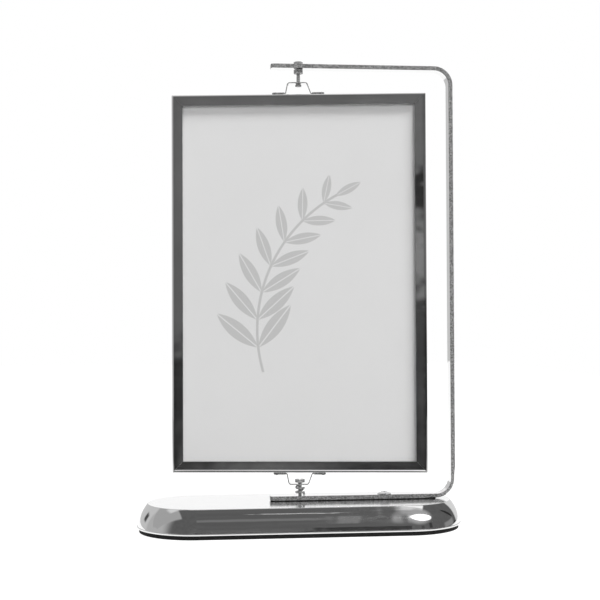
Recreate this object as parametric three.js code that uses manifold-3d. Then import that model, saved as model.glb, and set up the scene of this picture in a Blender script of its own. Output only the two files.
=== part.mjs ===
// Swivel picture frame: a double-sided frame for 10 x 15 cm pictures that turns between the two
// limbs of a bent steel arm, on a weighted chrome base. Millimetres, +Z up, +X along the base to
// the arm's upright, origin on the table under the swivel axis.

import * as THREE from "three";
import { mergeVertices } from "three/addons/utils/BufferGeometryUtils.js";
import Module from "manifold-3d";

const wasm = await Module();
wasm.setup();

// Pictures, glass and board
const pictureWidth = 100;
const pictureHeight = 150;
const pictureThickness = 0.3;
const glassThickness = 2;
const boardThickness = 1.5;
const stackGap = 0.12;

// Rails of the frame, a channel section with rounded outer edges
const railWall = 0.6;
const railEdgeRadius = 1.25;
const railOverlap = 3.1;
const mitreGap = 0.03;

// Corner angles, between the rails' webs and the glass
const angleThickness = 0.4;
const angleWidth = 5.6;
const angleLeg = 12;
const angleGap = 0.1;
const glassEdgeGap = 0.4;

// Hat brackets, their rivets and the turn in which the frame stands at rest
const hatHeight = 5;
const hatSheet = 0.4;
const hatFootThickness = 0.85;
const hatWidth = 4.5;
const hatTopHalfLength = 3.85;
const hatTopShift = 0.4;
const hatFootStart = 5.15;
const hatFootEnd = 10.6;
const hatHemGap = 0.35;
const hatBendRadius = 1;
const hatCornerRadius = 0.7;
const seatGap = 0.05;
const rivetPlace = 9.4;
const rivetShank = 0.9;
const rivetHead = 1.6;
const rivetHeadHeight = 0.45;
const rivetTailHeight = 0.3;
const frameTurnDegrees = -7.5;

// Base
const soleThickness = 1.75;
const soleInset = 1;
const baseHeight = 11.2;
const topLength = 122.4;
const topDepth = 39.8;
const sideSpread = 4.1;
const sideRadius = 16;
const lipHeight = 0.75;
const lipOut = 0.3;
const shellWall = 1.2;
const ballastHeadroom = 0.75;
const ballastGap = 0.3;

// Arm, a steel strip bent twice
const armThickness = 1.7;
const armWidth = 5.6;
const armBendRadius = 6;
const lowerArmTail = 12.15;
const upperArmTail = 11.3;
const armCornerRadius = 1.4;
const armClearance = 10.2;

// Pad between the arm's lower limb and the base
const padThickness = 0.3;
const padInset = 0.2;

// Screws and nuts of the two pivots
const pivotDiameter = 1.45;
const pivotHoleClearance = 0.25;
const threadClearance = 0.05;
const nutAcrossFlats = 3.2;
const nutHeight = 1.25;
const jamNutHeight = 0.9;
const pivotTip = 0.3;
const upperPivotReach = 3.77;
const upperHeadDiameter = 2.5;
const upperHeadHeight = 0.8;
const lowerHeadDiameter = 4;
const lowerHeadHeight = 1.2;
const lowerHeadLift = 0.45;
const slotWidth = 0.6;
const slotDepth = 0.45;
const pivotSeatGap = 0.2;

// Split lock washer between the upper limb and the jam nut
const washerDiameter = 3.7;
const washerBoreClearance = 0.1;
const washerThickness = 0.75;
const washerRise = 0.3;
const washerSplit = 0.3;

// Screw that holds the arm down
const armScrewPlace = 34.5;
const armScrewDiameter = 2.5;
const armScrewHead = 5.6;
const armScrewHeadHeight = 1;
const armNutAcrossFlats = 5;
const armNutHeight = 2;
const armScrewTip = 0.3;
const crossLength = 2.6;
const crossWidth = 0.55;
const crossDepth = 0.5;

// Spring round the lower pivot
const springSpace = 4.45;
const springWire = 0.8;
const springOuterDiameter = 4.05;
const springTopDiameter = 3.3;
const springTurns = 1.75;
const springLeg = 0.75;
const springRiseStart = 0.75;
const springRiseEnd = 1;
const springRiseShare = 0.65;
const springTopStart = 1.375;
const springSeatGap = 0.15;
const springStepsPerTurn = 8;
const springSides = 5;

// Round stretches
const roundSteps = 24;
const bendSteps = 6;
const endSteps = 20;
const sideSteps = 8;

// Places worked out from the values above
const stackDepth = 2 * (glassThickness + pictureThickness) + boardThickness + 6 * stackGap;
const railDepth = stackDepth + 2 * railWall;
const edgePlay = angleGap + angleThickness + glassEdgeGap;
const railFace = railWall + edgePlay + railOverlap;
const frameWidth = pictureWidth + 2 * (edgePlay + railWall);
const frameHeight = pictureHeight + 2 * (edgePlay + railWall);
const armSeat = baseHeight + padThickness;
const armTop = armSeat + armThickness;
const lowerHatFace = armTop + springSpace;
const frameBottom = lowerHatFace + hatHeight;
const frameMiddle = frameBottom + frameHeight / 2;
const frameTop = frameBottom + frameHeight;
const upperHatFace = frameTop + hatHeight;
const washerHeight = washerThickness + washerRise;
const jamNutTop = upperHatFace + upperPivotReach + jamNutHeight;
const upperArmUnder = jamNutTop + washerHeight;
const upperArmTop = upperArmUnder + armThickness;
const armInnerFace = frameWidth / 2 + armClearance;
const shellCeiling = baseHeight - shellWall;
const armScrewEnd = shellCeiling - armNutHeight - armScrewTip;
const ballastTop = armScrewEnd - ballastHeadroom;

const chrome = { color: 0xd4d6d8, metalness: 1, roughness: 0.08 };
const steel = { color: 0xb8babc, metalness: 1, roughness: 0.3 };
const darkSteel = { color: 0x55585a, metalness: 0.9, roughness: 0.5 };
const blackSole = { color: 0x101010, metalness: 0, roughness: 0.8 };
const glass = { color: 0xf4f8f8, metalness: 0, roughness: 0.05, transparent: true, opacity: 0.25 };
const paper = { color: 0xd2d2d2, metalness: 0, roughness: 0.9 };
const card = { color: 0x8f8d88, metalness: 0, roughness: 0.95 };

// One named piece with a material of its own.
function piece(name, geometry, look) {
  const mesh = new THREE.Mesh(geometry, new THREE.MeshStandardMaterial(look));
  mesh.name = name;
  return mesh;
}

// A geometry as a manifold-3d solid, for cutting and joining.
function toSolid(geometry) {
  const bare = geometry.clone();
  bare.deleteAttribute("normal");
  bare.deleteAttribute("uv");
  const merged = mergeVertices(bare, 1e-4);
  const vertProperties = Float32Array.from(merged.attributes.position.array);
  const triVerts = Uint32Array.from(merged.index.array);
  return new wasm.Manifold(new wasm.Mesh({ numProp: 3, vertProperties, triVerts }));
}

// The solid back as a geometry with flat faces.
function toGeometry(solid) {
  const mesh = solid.getMesh();
  const geometry = new THREE.BufferGeometry();
  geometry.setAttribute("position", new THREE.BufferAttribute(mesh.vertProperties, 3));
  geometry.setIndex(new THREE.BufferAttribute(mesh.triVerts, 1));
  const flat = geometry.toNonIndexed();
  flat.computeVertexNormals();
  return flat;
}

// A geometry with the others cut out of it.
function cut(geometry, cutters) {
  let solid = toSolid(geometry);
  for (const cutter of cutters) solid = solid.subtract(toSolid(cutter));
  return toGeometry(solid);
}

// A geometry joined with the others.
function join(geometry, others) {
  let solid = toSolid(geometry);
  for (const other of others) solid = solid.add(toSolid(other));
  return toGeometry(solid);
}

// A turned piece about a vertical line: the profile is [radius, height] from the lowest point up.
function turned(profile, x = 0, y = 0) {
  const points = profile.map(([radius, height]) => new THREE.Vector2(radius, height));
  const geometry = new THREE.LatheGeometry(points, roundSteps);
  geometry.rotateX(Math.PI / 2);
  geometry.translate(x, y, 0);
  return geometry;
}

// An upright cylinder between two heights.
function post(diameter, low, high, x = 0, y = 0) {
  const radius = diameter / 2;
  const profile = [[0, low], [radius, low], [radius, high], [0, high]];
  return turned(profile, x, y);
}

// A box from its sizes and its middle.
function block(sizeX, sizeY, sizeZ, x, y, z) {
  const geometry = new THREE.BoxGeometry(sizeX, sizeY, sizeZ);
  geometry.translate(x, y, z);
  return geometry;
}

// A hexagon nut with its hole, standing between two heights.
function nut(acrossFlats, hole, low, height, x = 0) {
  const corner = acrossFlats / Math.sqrt(3);
  const outline = new THREE.Shape();
  for (let side = 0; side < 6; side += 1) {
    const angle = (side * Math.PI) / 3;
    const place = [corner * Math.cos(angle), corner * Math.sin(angle)];
    if (side === 0) outline.moveTo(...place);
    else outline.lineTo(...place);
  }
  outline.closePath();
  const bore = new THREE.Path();
  bore.absarc(0, 0, hole / 2, 0, 2 * Math.PI, true);
  outline.holes.push(bore);
  const geometry = new THREE.ExtrudeGeometry(outline, {
    depth: height,
    bevelEnabled: false,
    curveSegments: roundSteps / 2,
  });
  geometry.translate(x, 0, low);
  return geometry;
}

// A surface through rings of points with the two end rings closed, all rings equally long and
// turning the same way.
function ringed(rings) {
  const count = rings[0].length;
  const positions = rings.flat().flatMap((point) => [point.x, point.y, point.z]);
  const index = [];
  for (let ring = 0; ring + 1 < rings.length; ring += 1) {
    for (let step = 0; step < count; step += 1) {
      const a = ring * count + step;
      const b = ring * count + ((step + 1) % count);
      index.push(a, b, b + count, a, b + count, a + count);
    }
  }
  const last = (rings.length - 1) * count;
  for (let step = 1; step + 1 < count; step += 1) {
    index.push(0, step + 1, step);
    index.push(last, last + step, last + step + 1);
  }
  const geometry = new THREE.BufferGeometry();
  geometry.setAttribute("position", new THREE.Float32BufferAttribute(positions, 3));
  geometry.setIndex(index);
  const solid = toSolid(geometry);
  if (solid.volume() < 0) {
    for (let i = 0; i < index.length; i += 3) {
      [index[i + 1], index[i + 2]] = [index[i + 2], index[i + 1]];
    }
    geometry.setIndex(index);
  }
  const flat = geometry.toNonIndexed();
  flat.computeVertexNormals();
  return flat;
}

// Stations along a path with rounded corners in the XZ plane: place, sideways normal and the
// distance run so far. Extra stations lie near both ends, for rounded end corners.
function bentPath(corners, bendRadius, endRadius) {
  const stations = [];
  let run = 0;
  const add = (x, z, normalX, normalZ) => {
    const before = stations.at(-1);
    if (before) run += Math.hypot(x - before.x, z - before.z);
    stations.push({ x, z, normalX, normalZ, run });
  };
  const legs = corners.slice(1).map(([x, z], i) => {
    const [fromX, fromZ] = corners[i];
    const length = Math.hypot(x - fromX, z - fromZ);
    return { dirX: (x - fromX) / length, dirZ: (z - fromZ) / length, length };
  });
  const ends = Array.from({ length: bendSteps + 1 }, (_, i) => {
    return endRadius * (1 - Math.cos((i * Math.PI) / (2 * bendSteps)));
  });
  const first = legs[0];
  for (const along of ends) {
    const x = corners[0][0] + first.dirX * along;
    add(x, corners[0][1] + first.dirZ * along, -first.dirZ, first.dirX);
  }
  for (let i = 1; i < legs.length; i += 1) {
    const before = legs[i - 1];
    const after = legs[i];
    const turn = Math.atan2(
      before.dirX * after.dirZ - before.dirZ * after.dirX,
      before.dirX * after.dirX + before.dirZ * after.dirZ,
    );
    const side = Math.sign(turn);
    const reach = bendRadius * Math.tan(Math.abs(turn) / 2);
    const startX = corners[i][0] - before.dirX * reach;
    const startZ = corners[i][1] - before.dirZ * reach;
    const centreX = startX - before.dirZ * bendRadius * side;
    const centreZ = startZ + before.dirX * bendRadius * side;
    for (let step = 0; step <= bendSteps; step += 1) {
      const angle = (turn * step) / bendSteps;
      const normalX = -before.dirZ * Math.cos(angle) - before.dirX * Math.sin(angle);
      const normalZ = before.dirX * Math.cos(angle) - before.dirZ * Math.sin(angle);
      const away = bendRadius * side;
      add(centreX - normalX * away, centreZ - normalZ * away, normalX, normalZ);
    }
  }
  const final = legs.at(-1);
  const [endX, endZ] = corners.at(-1);
  for (const back of ends.toReversed()) {
    add(endX - final.dirX * back, endZ - final.dirZ * back, -final.dirZ, final.dirX);
  }
  return stations;
}

// A flat strip bent along a path, its end corners rounded as seen from its broad side.
function bentStrip(corners, bendRadius, thickness, width, endRadius) {
  const stations = bentPath(corners, bendRadius, endRadius);
  const total = stations.at(-1).run;
  const rings = stations.map(({ x, z, normalX, normalZ, run }) => {
    const left = Math.max(0, endRadius - Math.min(run, total - run));
    const half = width / 2 - endRadius + Math.sqrt(Math.max(0, endRadius ** 2 - left ** 2));
    return [[-1, -1], [1, -1], [1, 1], [-1, 1]].map(([across, out]) => {
      const offset = (out * thickness) / 2;
      return new THREE.Vector3(x + normalX * offset, across * half, z + normalZ * offset);
    });
  });
  return ringed(rings);
}

// How far the shell's side stands out beyond the edge of the top face, at a height. The side is
// an arc from that edge to the top of the foot lip.
function sideOffset(height) {
  const drop = baseHeight - soleThickness - lipHeight;
  const chord = Math.hypot(sideSpread, drop);
  const rise = Math.sqrt(sideRadius ** 2 - (chord / 2) ** 2);
  const centreX = sideSpread / 2 - (rise * drop) / chord;
  const centreZ = baseHeight - drop / 2 - (rise * sideSpread) / chord;
  return centreX + Math.sqrt(sideRadius ** 2 - (height - centreZ) ** 2);
}

// A level ring with straight long sides and half-round ends, as far out as the offset says.
function roundEndedRing(offset, height) {
  const straight = (topLength - topDepth) / 2;
  const radius = topDepth / 2 + offset;
  const points = [];
  for (const end of [1, -1]) {
    for (let step = 0; step <= endSteps; step += 1) {
      const angle = (Math.PI * step) / endSteps - Math.PI / 2;
      const x = end * (straight + radius * Math.cos(angle));
      points.push(new THREE.Vector3(x, end * radius * Math.sin(angle), height));
    }
  }
  return points;
}

// The hollow chrome cover of the base, open below, with the two screw holes in its top.
function baseShell() {
  const lipTop = soleThickness + lipHeight;
  const heights = Array.from({ length: sideSteps + 1 }, (_, i) => {
    return baseHeight - ((baseHeight - lipTop) * i) / sideSteps;
  });
  const outside = heights.map((height) => roundEndedRing(sideOffset(height), height));
  const foot = [
    roundEndedRing(sideSpread + lipOut, lipTop - lipOut),
    roundEndedRing(sideSpread + lipOut, soleThickness),
    roundEndedRing(sideSpread - shellWall, soleThickness),
  ];
  const inside = heights
    .filter((height) => height < shellCeiling)
    .toReversed()
    .map((height) => roundEndedRing(sideOffset(height) - shellWall, height));
  const ceiling = roundEndedRing(sideOffset(shellCeiling) - shellWall, shellCeiling);
  const pivotHole = pivotDiameter + 2 * threadClearance;
  const screwHole = armScrewDiameter + 2 * threadClearance;
  return cut(ringed([...outside, ...foot, ...inside, ceiling]), [
    post(pivotHole, shellCeiling - 1, baseHeight + 1),
    post(screwHole, shellCeiling - 1, baseHeight + 1, armScrewPlace),
  ]);
}

// A flat plate with the plan of the base.
function basePlate(offset, low, high) {
  return ringed([roundEndedRing(offset, low), roundEndedRing(offset, high)]);
}

function ballastPlate() {
  const offset = sideOffset(ballastTop) - shellWall - ballastGap;
  return basePlate(offset, soleThickness, ballastTop);
}

function baseSole() {
  return basePlate(sideSpread + lipOut - soleInset, 0, soleThickness);
}

// The arm: a strip screwed to the base, bent up beside the frame and back over it.
function bracketArm() {
  const half = armThickness / 2;
  const corners = [
    [-lowerArmTail, armSeat + half],
    [armInnerFace + half, armSeat + half],
    [armInnerFace + half, upperArmUnder + half],
    [-upperArmTail, upperArmUnder + half],
  ];
  const bend = armBendRadius + half;
  const strip = bentStrip(corners, bend, armThickness, armWidth, armCornerRadius);
  const pivotHole = pivotDiameter + 2 * threadClearance;
  const screwHole = armScrewDiameter + 2 * threadClearance;
  return cut(strip, [
    post(pivotHole, armSeat - 1, armTop + 1),
    post(pivotHole, upperArmUnder - 1, upperArmTop + 1),
    post(screwHole, armSeat - 1, armTop + 1, armScrewPlace),
  ]);
}

// The thin pad under the arm's lower limb, as long as that limb is flat.
function armPad() {
  const half = padThickness / 2;
  const corners = [
    [padInset - lowerArmTail, baseHeight + half],
    [armInnerFace - armBendRadius - padInset, baseHeight + half],
  ];
  const width = armWidth - 2 * padInset;
  const strip = bentStrip(corners, 0, padThickness, width, armCornerRadius - padInset);
  return cut(strip, [
    post(pivotDiameter + 2 * threadClearance, baseHeight - 1, armSeat + 1),
    post(armScrewDiameter + 2 * threadClearance, baseHeight - 1, armSeat + 1, armScrewPlace),
  ]);
}

// A domed head as profile points from its flat face to its crown.
function domeProfile(diameter, seat, height) {
  const radius = diameter / 2;
  const ball = (radius ** 2 + height ** 2) / (2 * Math.abs(height));
  const spread = Math.asin(radius / ball);
  return Array.from({ length: bendSteps + 1 }, (_, i) => {
    const angle = spread * (1 - i / bendSteps);
    const up = ball * Math.cos(angle) - (ball - Math.abs(height));
    return [ball * Math.sin(angle), seat + Math.sign(height) * up];
  });
}

// The screw that holds the arm to the base, with a cross in its domed head.
function armScrew() {
  const shank = armScrewDiameter / 2;
  const dome = domeProfile(armScrewHead, armTop, armScrewHeadHeight);
  const profile = [[0, armScrewEnd], [shank, armScrewEnd], [shank, armTop], ...dome];
  const body = turned(profile, armScrewPlace);
  const crossMiddle = armTop + armScrewHeadHeight;
  return cut(body, [
    block(crossLength, crossWidth, 2 * crossDepth, armScrewPlace, 0, crossMiddle),
    block(crossWidth, crossLength, 2 * crossDepth, armScrewPlace, 0, crossMiddle),
  ]);
}

function armScrewNut() {
  const hole = armScrewDiameter + 2 * threadClearance;
  const low = shellCeiling - armNutHeight;
  return nut(armNutAcrossFlats, hole, low, armNutHeight, armScrewPlace);
}

// A cutter for the slot across a pivot screw's head, at the head's free face, front to back unless
// it is turned.
function slot(headDiameter, face, turned = false) {
  const cutter = block(slotWidth, headDiameter + 1, 2 * slotDepth, 0, 0, 0);
  if (turned) cutter.rotateZ(Math.PI / 2);
  cutter.translate(0, 0, face);
  return cutter;
}

// The lower pivot: its head is captive inside the lower hat bracket.
function lowerPivotScrew() {
  const tip = shellCeiling - nutHeight - pivotTip;
  const shank = pivotDiameter / 2;
  const head = lowerHeadDiameter / 2;
  const seat = lowerHatFace + hatSheet + lowerHeadLift;
  const crown = seat + lowerHeadHeight;
  const profile = [[0, tip], [shank, tip], [shank, seat], [head, seat], [head, crown], [0, crown]];
  return cut(turned(profile), [slot(lowerHeadDiameter, crown)]);
}

function lowerPivotNut() {
  const hole = pivotDiameter + 2 * threadClearance;
  return nut(nutAcrossFlats, hole, shellCeiling - nutHeight, nutHeight);
}

// The upper pivot: the frame hangs on its head, under the plate of the upper hat bracket.
function upperPivotScrew() {
  const crown = upperHatFace - hatSheet - pivotSeatGap;
  const low = crown - upperHeadHeight;
  const tip = upperArmTop + nutHeight + pivotTip;
  const shank = pivotDiameter / 2;
  const head = upperHeadDiameter / 2;
  const profile = [[0, low], [head, low], [head, crown], [shank, crown], [shank, tip], [0, tip]];
  return cut(turned(profile), [slot(upperHeadDiameter, low, true)]);
}

function upperPivotNut() {
  const hole = pivotDiameter + 2 * threadClearance;
  return nut(nutAcrossFlats, hole, upperArmTop, nutHeight);
}

function upperPivotJamNut() {
  const hole = pivotDiameter + 2 * threadClearance;
  return nut(nutAcrossFlats, hole, jamNutTop - jamNutHeight, jamNutHeight);
}

// The lock washer: it starts beside its split on the jam nut and rises to the arm at the split's
// other side, most of it in the last third.
function upperPivotLockWasher() {
  const inner = pivotDiameter / 2 + washerBoreClearance;
  const outer = washerDiameter / 2;
  const split = washerSplit / outer;
  const rings = Array.from({ length: roundSteps + 1 }, (_, i) => {
    const share = i / roundSteps;
    const angle = split / 2 + share * (2 * Math.PI - split);
    const low = jamNutTop + washerRise * share ** 3;
    const high = low + washerThickness;
    return [[inner, low], [outer, low], [outer, high], [inner, high]].map(([radius, height]) => {
      return new THREE.Vector3(radius * Math.cos(angle), radius * Math.sin(angle), height);
    });
  });
  return ringed(rings);
}

// The middle line of the spring: a straight upright leg on the right, then a left-handed helix
// with a level turn, a short rise at the back, a second level stretch and a narrow end that rises.
function springLine() {
  const low = armTop + springSeatGap + springLeg + springWire / 2;
  const high = lowerHatFace - springSeatGap - springWire / 2;
  const wide = (springOuterDiameter - springWire) / 2;
  const narrow = (springTopDiameter - springWire) / 2;
  const steps = Math.round(springTurns * springStepsPerTurn);
  const line = [new THREE.Vector3(wide, 0, armTop + springSeatGap)];
  for (let step = 0; step <= steps; step += 1) {
    const turns = (step / steps) * springTurns;
    const angle = -2 * Math.PI * turns;
    const risen = share(turns, springRiseStart, springRiseEnd);
    const toTop = share(turns, springTopStart, springTurns);
    const radius = wide + (narrow - wide) * toTop;
    const z = low + (high - low) * (springRiseShare * risen + (1 - springRiseShare) * toTop);
    line.push(new THREE.Vector3(radius * Math.cos(angle), radius * Math.sin(angle), z));
  }
  return line;
}

// How far a value has come from a start to an end, from 0 to 1.
function share(value, start, end) {
  return Math.min(1, Math.max(0, (value - start) / (end - start)));
}

// The least gap between two turns of the wire, measured on the points of its middle line.
function leastGap(line, wire) {
  const apart = springStepsPerTurn / 2;
  let least = Infinity;
  for (let i = 0; i < line.length; i += 1) {
    for (let j = i + apart; j < line.length; j += 1) {
      least = Math.min(least, line[i].distanceTo(line[j]) - wire);
    }
  }
  return least;
}

// A round wire along a line of points: each ring lies square to the line at its point.
function wireAlong(line, diameter, sides) {
  const outward = new THREE.Vector3();
  const rings = line.map((point, i) => {
    const before = line[Math.max(0, i - 1)];
    const after = line[Math.min(line.length - 1, i + 1)];
    const ahead = after.clone().sub(before).normalize();
    outward.set(point.x, point.y, 0);
    outward.addScaledVector(ahead, -ahead.dot(outward)).normalize();
    const sideways = ahead.clone().cross(outward);
    return Array.from({ length: sides }, (_, side) => {
      const angle = (2 * Math.PI * side) / sides;
      return point
        .clone()
        .addScaledVector(outward, (diameter / 2) * Math.cos(angle))
        .addScaledVector(sideways, (diameter / 2) * Math.sin(angle));
    });
  });
  return ringed(rings);
}

function pivotSpring() {
  const line = springLine();
  console.log("pivot_spring: least gap to itself " + leastGap(line, springWire).toFixed(2) + " mm");
  return wireAlong(line, springWire, springSides);
}

// The channel section of a rail as [inset, depth]: inset from the frame's outer edge towards the
// opening, depth from the middle of the rail to the back.
function railSection() {
  const half = railDepth / 2;
  const inner = railEdgeRadius - railWall;
  const arc = (radius, centreInset, centreDepth, from) => {
    return Array.from({ length: bendSteps + 1 }, (_, i) => {
      const angle = from + (i / bendSteps) * (Math.PI / 2);
      return [centreInset - radius * Math.cos(angle), centreDepth + radius * Math.sin(angle)];
    });
  };
  const back = half - railEdgeRadius;
  const outside = [
    [railFace, -half],
    ...arc(railEdgeRadius, railEdgeRadius, -back, -Math.PI / 2),
    ...arc(railEdgeRadius, railEdgeRadius, back, 0),
    [railFace, half],
  ];
  const inside = [
    [railFace, half - railWall],
    ...arc(inner, railEdgeRadius, back, 0).toReversed(),
    ...arc(inner, railEdgeRadius, -back, -Math.PI / 2).toReversed(),
    [railFace, -half + railWall],
  ];
  const section = [...outside, ...inside];
  const seenFromRight = section.map(([inset, depth]) => new THREE.Vector2(depth, -inset));
  return THREE.ShapeUtils.isClockWise(seenFromRight) ? section.toReversed() : section;
}

// A rail lying along X with its outer edge up, its ends mitred, its outer edge at height zero.
function rail(length) {
  const section = railSection();
  const flat = section.map(([inset, depth]) => new THREE.Vector2(depth, -inset));
  const faces = THREE.ShapeUtils.triangulateShape(flat, []);
  const positions = [];
  for (const end of [-1, 1]) {
    for (const [inset, depth] of section) {
      positions.push(end * (length / 2 - inset - mitreGap), depth, -inset);
    }
  }
  const count = section.length;
  const index = [];
  for (let i = 0; i < count; i += 1) {
    const next = (i + 1) % count;
    index.push(i, next, next + count, i, next + count, i + count);
  }
  for (const [a, b, c] of faces) {
    index.push(a, c, b, a + count, b + count, c + count);
  }
  const geometry = new THREE.BufferGeometry();
  geometry.setAttribute("position", new THREE.Float32BufferAttribute(positions, 3));
  geometry.setIndex(index);
  const flatFaced = geometry.toNonIndexed();
  flatFaced.computeVertexNormals();
  return flatFaced;
}

// A rail with the rivet holes of a hat bracket's two feet in its web.
function drilledRail(length) {
  const hole = rivetShank + 2 * threadClearance;
  return cut(rail(length), [
    post(hole, -railWall - 0.5, 0.5, -rivetPlace),
    post(hole, -railWall - 0.5, 0.5, rivetPlace),
  ]);
}

// The angle in one corner, as an L in the frame's plane; sideX and sideZ say which corner.
function cornerAngle(sideX, sideZ) {
  const outX = frameWidth / 2 - railWall - angleGap;
  const outZ = frameHeight / 2 - railWall - angleGap;
  const upright = block(
    angleThickness,
    angleWidth,
    angleLeg,
    sideX * (outX - angleThickness / 2),
    0,
    sideZ * (outZ - angleLeg / 2),
  );
  const level = block(
    angleLeg,
    angleWidth,
    angleThickness,
    sideX * (outX - angleLeg / 2),
    0,
    sideZ * (outZ - angleThickness / 2),
  );
  return join(upright, [level]);
}

// A hat bracket standing up from height zero, its feet folded double, with the pivot's hole and
// two rivet holes.
function hatBracket() {
  const half = hatSheet / 2;
  const corners = [
    [-hatFootEnd, half],
    [-hatFootStart, half],
    [-hatTopHalfLength - hatTopShift, hatHeight - half],
    [hatTopHalfLength - hatTopShift, hatHeight - half],
    [hatFootStart, half],
    [hatFootEnd, half],
  ];
  const bent = bentStrip(corners, hatBendRadius, hatSheet, hatWidth, hatCornerRadius);
  const hemThickness = hatFootThickness - half;
  const hems = [-1, 1].map((side) => {
    const line = [[side * hatFootEnd, half + hemThickness / 2]];
    line.push([side * (hatFootStart + hatHemGap), half + hemThickness / 2]);
    return bentStrip(line, hatBendRadius, hemThickness, hatWidth, hatCornerRadius);
  });
  const strip = join(bent, hems);
  const pivotHole = pivotDiameter + 2 * pivotHoleClearance;
  const rivetHole = rivetShank + 2 * threadClearance;
  return cut(strip, [
    post(pivotHole, hatHeight - 2, hatHeight + 1),
    post(rivetHole, -1, 1, -rivetPlace),
    post(rivetHole, -1, 1, rivetPlace),
  ]);
}

// A rivet through a bracket's foot and a rail's web, which lies below height zero.
function footRivet() {
  const shank = rivetShank / 2;
  const tail = rivetHead / 2;
  const seat = hatFootThickness + seatGap * 2;
  const web = -railWall - seatGap;
  const dome = domeProfile(rivetHead, seat, rivetHeadHeight);
  const low = web - rivetTailHeight;
  return turned([[0, low], [tail, low], [tail, web], [shank, web], [shank, seat], ...dome]);
}

function stand() {
  const group = new THREE.Group();
  group.add(
    piece("base_shell", baseShell(), chrome),
    piece("ballast_plate", ballastPlate(), darkSteel),
    piece("base_sole", baseSole(), blackSole),
    piece("arm_pad", armPad(), blackSole),
    piece("bracket_arm", bracketArm(), chrome),
    piece("arm_screw", armScrew(), chrome),
    piece("arm_screw_nut", armScrewNut(), steel),
    piece("lower_pivot_screw", lowerPivotScrew(), steel),
    piece("lower_pivot_nut", lowerPivotNut(), steel),
    piece("pivot_spring", pivotSpring(), steel),
    piece("upper_pivot_screw", upperPivotScrew(), steel),
    piece("upper_pivot_nut", upperPivotNut(), steel),
    piece("upper_pivot_jam_nut", upperPivotJamNut(), steel),
    piece("upper_pivot_lock_washer", upperPivotLockWasher(), steel),
  );
  return group;
}

// The four rails, mitred at the corners, in a frame whose middle is the origin.
function rails() {
  const group = new THREE.Group();
  const top = piece("top_rail", drilledRail(frameWidth), chrome);
  top.position.z = frameHeight / 2;
  const bottom = piece("bottom_rail", drilledRail(frameWidth), chrome);
  bottom.position.z = -frameHeight / 2;
  bottom.rotation.y = Math.PI;
  const right = piece("right_rail", rail(frameHeight), chrome);
  right.position.x = frameWidth / 2;
  right.rotation.y = Math.PI / 2;
  const left = piece("left_rail", rail(frameHeight), chrome);
  left.position.x = -frameWidth / 2;
  left.rotation.y = -Math.PI / 2;
  group.add(top, bottom, left, right);
  return group;
}

function cornerAngles() {
  const group = new THREE.Group();
  for (const [vertical, sideZ] of [["top", 1], ["bottom", -1]]) {
    for (const [horizontal, sideX] of [["left", -1], ["right", 1]]) {
      const name = vertical + "_" + horizontal + "_corner_angle";
      group.add(piece(name, cornerAngle(sideX, sideZ), steel));
    }
  }
  return group;
}

// The sheets between the rails, from the middle board to both faces.
function sheets() {
  const group = new THREE.Group();
  const sheet = (name, thickness, middle, look) => {
    const geometry = new THREE.BoxGeometry(pictureWidth, thickness, pictureHeight);
    const mesh = piece(name, geometry, look);
    mesh.position.y = middle;
    group.add(mesh);
  };
  const pictureMiddle = boardThickness / 2 + stackGap + pictureThickness / 2;
  const glassMiddle = pictureMiddle + pictureThickness / 2 + stackGap + glassThickness / 2;
  sheet("divider_board", boardThickness, 0, card);
  sheet("front_picture", pictureThickness, -pictureMiddle, paper);
  sheet("rear_picture", pictureThickness, pictureMiddle, paper);
  sheet("front_glass", glassThickness, -glassMiddle, glass);
  sheet("rear_glass", glassThickness, glassMiddle, glass);
  return group;
}

// The hat bracket and its two rivets on the top rail, or upside down under the bottom rail.
function pivotMount(place, upsideDown) {
  const group = new THREE.Group();
  const bracket = piece(place + "_hat_bracket", hatBracket(), chrome);
  bracket.position.z = seatGap;
  group.add(bracket);
  for (const [horizontal, side] of [["left", -1], ["right", 1]]) {
    const rivet = piece(place + "_" + horizontal + "_rivet", footRivet(), steel);
    rivet.position.x = side * rivetPlace;
    group.add(rivet);
  }
  group.position.z = (upsideDown ? -1 : 1) * (frameHeight / 2);
  if (upsideDown) group.rotation.x = Math.PI;
  return group;
}

function pictureFrame() {
  const group = new THREE.Group();
  group.add(rails(), cornerAngles(), sheets());
  group.add(pivotMount("top", false), pivotMount("bottom", true));
  group.position.z = frameMiddle;
  group.rotation.z = THREE.MathUtils.degToRad(frameTurnDegrees);
  return group;
}

const swivelPictureFrame = new THREE.Group();
swivelPictureFrame.add(stand(), pictureFrame());

export default swivelPictureFrame;
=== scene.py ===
"""The swivel picture frame dressed for rendering: camera, light, floor, materials and detailed pieces.

Lengths are in millimetres and turned into metres when a piece is made. The pieces repeat the
driving sizes of the CAD model, with finer rounding, edges and threads.
"""

import math

import bmesh
import bpy
from mathutils import Matrix, Vector


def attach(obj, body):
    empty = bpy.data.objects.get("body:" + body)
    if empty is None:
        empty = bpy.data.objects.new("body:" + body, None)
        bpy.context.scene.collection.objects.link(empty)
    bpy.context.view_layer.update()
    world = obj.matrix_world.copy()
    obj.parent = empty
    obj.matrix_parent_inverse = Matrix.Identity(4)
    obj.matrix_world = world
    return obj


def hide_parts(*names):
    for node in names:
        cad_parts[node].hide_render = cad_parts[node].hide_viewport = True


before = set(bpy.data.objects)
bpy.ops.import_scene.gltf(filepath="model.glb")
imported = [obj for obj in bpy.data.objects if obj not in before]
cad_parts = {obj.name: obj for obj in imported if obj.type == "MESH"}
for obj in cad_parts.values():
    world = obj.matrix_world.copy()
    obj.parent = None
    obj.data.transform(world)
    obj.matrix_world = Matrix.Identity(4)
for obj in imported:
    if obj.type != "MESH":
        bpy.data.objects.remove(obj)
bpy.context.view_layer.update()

MM = 0.001
IMAGE_SIZE = 600

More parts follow.
